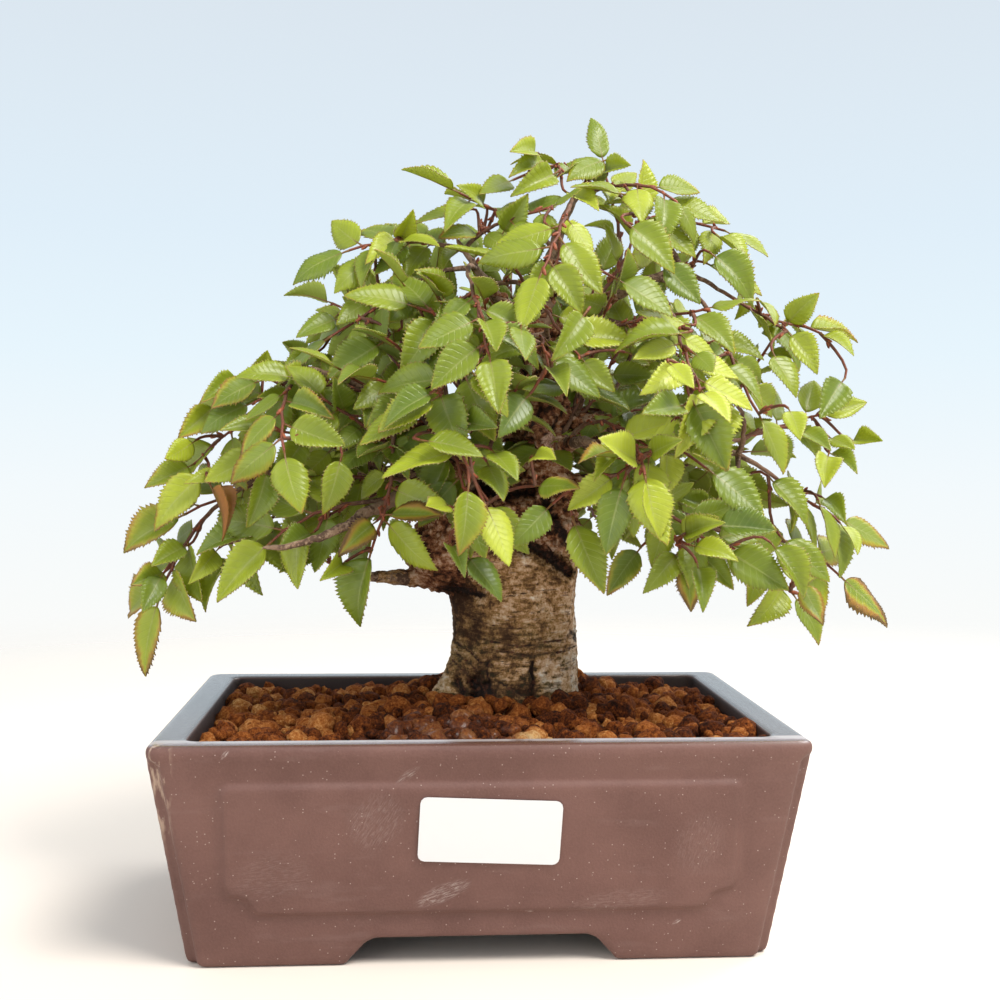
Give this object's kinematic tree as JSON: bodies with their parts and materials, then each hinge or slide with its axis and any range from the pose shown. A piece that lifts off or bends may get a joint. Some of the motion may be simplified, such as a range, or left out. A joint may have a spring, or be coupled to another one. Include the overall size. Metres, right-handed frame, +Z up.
{
  "type": "potted bonsai tree",
  "caption": "Small hornbeam bonsai with a stout trunk, toothed leaves in a wide dome, and granular soil in a rectangular mauve-brown clay pot on feet.",
  "frame": {"origin": "on the ground, under the middle of the whole plant and pot's box", "axes": "+Z up, +X to the right as the label side is seen, +Y away from the label side, through the depth"},
  "size_m": [0.262, 0.1661, 0.2653],
  "materials": {
    "mauve_clay": "unglazed, satin",
    "dark_plastic": "matt",
    "white_label": "satin paper",
    "red_granules": "rough, porous",
    "grey_bark": "rough bark",
    "leaf_green": "living leaf, satin"
  },
  "bodies": {
    "root": {"pot": "mauve_clay", "drain_screen_left": "dark_plastic", "drain_screen_right": "dark_plastic", "soil": "red_granules", "trunk": "grey_bark", "label": "white_label", "spray_apex_front": "leaf_green", "spray_back_1": "leaf_green", "spray_back_10": "leaf_green", "spray_back_11": "leaf_green", "spray_back_12": "leaf_green", "spray_back_2": "leaf_green", "spray_back_3": "leaf_green", "spray_back_4": "leaf_green", "spray_back_5": "leaf_green", "spray_back_6": "leaf_green", "spray_back_7": "leaf_green", "spray_back_8": "leaf_green", "spray_back_9": "leaf_green", "spray_before_trunk_left": "leaf_green", "spray_before_trunk_right": "leaf_green", "spray_bright_left": "leaf_green", "spray_bright_low_left": "leaf_green", "spray_bright_low_right": "leaf_green", "spray_bright_right": "leaf_green", "spray_crown_left": "leaf_green", "spray_crown_right": "leaf_green", "spray_crown_tip": "leaf_green", "spray_droop_left": "leaf_green", "spray_edge_right": "leaf_green", "spray_far_right": "leaf_green", "spray_front_high": "leaf_green", "spray_front_left_high": "leaf_green", "spray_front_left_low": "leaf_green", "spray_front_left_mid": "leaf_green", "spray_front_mid_low": "leaf_green", "spray_front_mid_right": "leaf_green", "spray_front_middle": "leaf_green", "spray_front_right_low": "leaf_green", "spray_hang_left": "leaf_green", "spray_high_left": "leaf_green", "spray_high_right_front": "leaf_green", "spray_low_left_far": "leaf_green", "spray_low_left_inner": "leaf_green", "spray_low_left_mid": "leaf_green", "spray_low_right_far": "leaf_green", "spray_low_right_inner": "leaf_green", "spray_mid_left": "leaf_green", "spray_mid_left_far": "leaf_green", "spray_mid_right": "leaf_green", "spray_mid_right_front": "leaf_green", "spray_shoulder_inner": "leaf_green", "spray_shoulder_left": "leaf_green", "spray_shoulder_right": "leaf_green", "spray_shoulder_right_high": "leaf_green", "spray_under_right": "leaf_green", "spray_under_right_far": "leaf_green", "spray_upper_left": "leaf_green", "spray_upper_right_far": "leaf_green", "spray_upper_right_tip": "leaf_green"}
  },
  "joints": []
}
